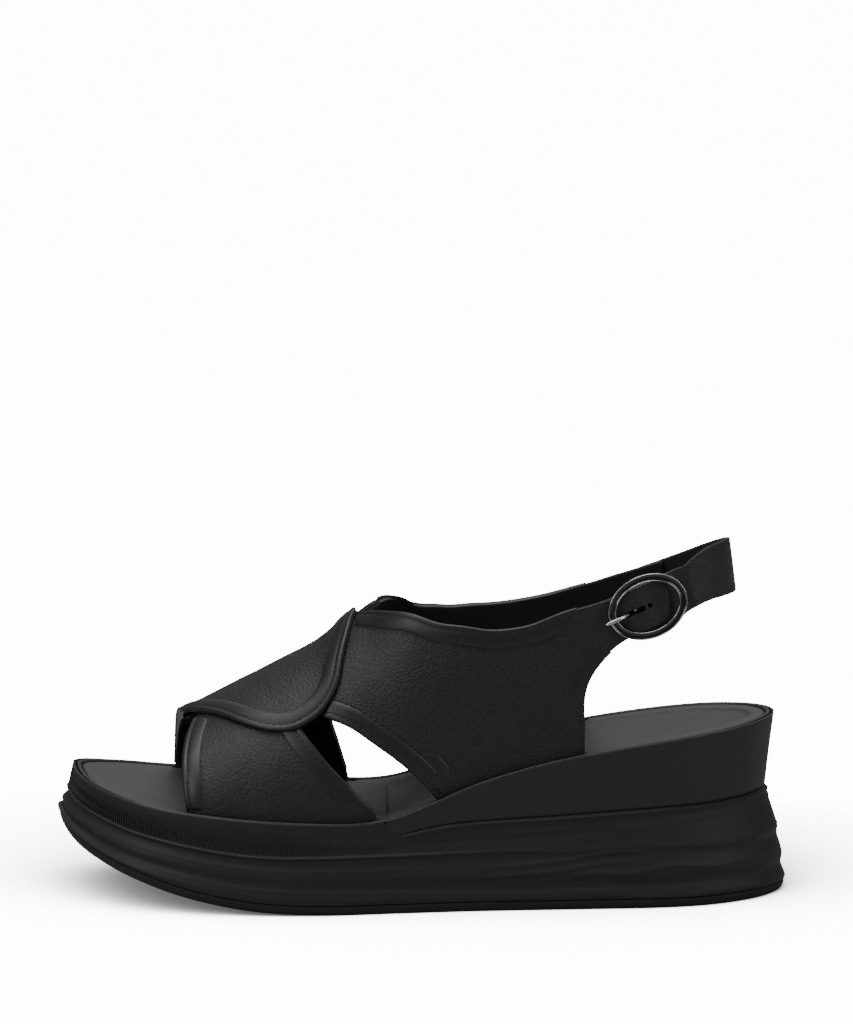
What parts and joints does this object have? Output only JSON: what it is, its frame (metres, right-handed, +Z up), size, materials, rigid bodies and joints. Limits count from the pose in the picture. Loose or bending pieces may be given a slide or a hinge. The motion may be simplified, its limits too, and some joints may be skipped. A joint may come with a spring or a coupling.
{
  "type": "wedge sandal",
  "caption": "Open-toe slingback wedge sandal, left shoe: crossed leather straps, buckled heel strap, cushioned footbed on a flared moulded platform.",
  "frame": {"origin": "middle of the bounding box at the ground", "axes": "+X from toe to heel along the sole, -Y to the outer side of the foot, +Z up"},
  "size_m": [0.2538, 0.092, 0.1252],
  "materials": {
    "outsole_rubber": "matte moulded rubber",
    "platform_foam": "matte moulded foam with fine ribs",
    "wedge_foam": "smooth matte foam",
    "upper_leather": "fine pebbled semi-gloss leather",
    "strap_lining": "smooth matte lining leather",
    "sock_leather": "smooth matte sock leather",
    "bed_foam": "soft foam",
    "fibre_board": "pressed fibre board",
    "shank_steel": "plain steel strip",
    "buckle_metal": "dark polished metal"
  },
  "bodies": {
    "sandal": {"outsole": "outsole_rubber", "platform": "platform_foam", "wedge_block": "wedge_foam", "shank": "shank_steel", "rim_bead": "wedge_foam", "insole_board": "fibre_board", "footbed_cushion": "bed_foam", "sock_lining": "sock_leather", "outer_front_strap_lining": "strap_lining", "outer_front_strap": "upper_leather", "inner_quarter_lining": "strap_lining", "inner_quarter": "upper_leather", "inner_front_lining": "strap_lining", "instep_interlining": "strap_lining", "crossover_panel": "upper_leather", "outer_quarter_lining": "strap_lining", "outer_quarter": "upper_leather", "front_strap_toe_band": "upper_leather", "front_strap_heel_band": "upper_leather", "outer_quarter_front_band": "upper_leather", "outer_quarter_top_band": "upper_leather", "outer_quarter_rear_band": "upper_leather", "crossover_band": "upper_leather", "inner_quarter_front_band": "upper_leather", "inner_quarter_top_band": "upper_leather", "inner_quarter_rear_band": "upper_leather", "heel_strap": "upper_leather", "heel_strap_lining": "strap_lining"},
    "buckle": {"buckle_frame": "buckle_metal"},
    "tongue": {"buckle_tongue": "buckle_metal"}
  },
  "joints": [
    {"name": "buckle_rock", "type": "hinge", "parent": "sandal", "child": "buckle", "pos_m": [0.0745, -0.02106, 0.10408], "axis": [-0.3805, 0.0461, 0.9236], "range_deg": [-3, 1.5]},
    {"name": "tongue_swing", "type": "hinge", "parent": "buckle", "child": "tongue", "pos_m": [0.0745, -0.02106, 0.10408], "axis": [-0.3805, 0.0461, 0.9236], "range_deg": [0, 60]}
  ]
}
